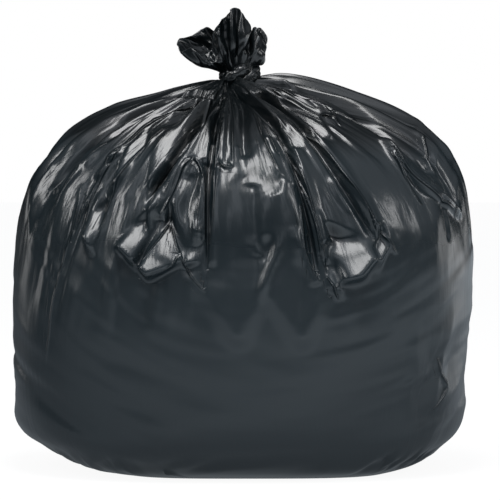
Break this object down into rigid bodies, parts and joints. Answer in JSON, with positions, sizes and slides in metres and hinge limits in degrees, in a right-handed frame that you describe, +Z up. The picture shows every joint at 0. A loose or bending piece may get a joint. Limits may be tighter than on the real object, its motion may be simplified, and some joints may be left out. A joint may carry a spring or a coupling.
{
  "type": "filled bin bag",
  "caption": "Filled dark film refuse sack, tied in its own neck, with pleats gathered to the knot and a loose crumpled mouth above it.",
  "frame": {"origin": "middle of the sack's outline on the floor, at the flat contact patch under it", "axes": "+Z up through the neck, +X to the right and +Y to the back as seen from the front face in the picture"},
  "size_m": [0.5522, 0.4484, 0.5505],
  "materials": {
    "film": "glossy blown polyethylene film, near black"
  },
  "bodies": {
    "root": {"tied_bag": "film"}
  },
  "joints": []
}
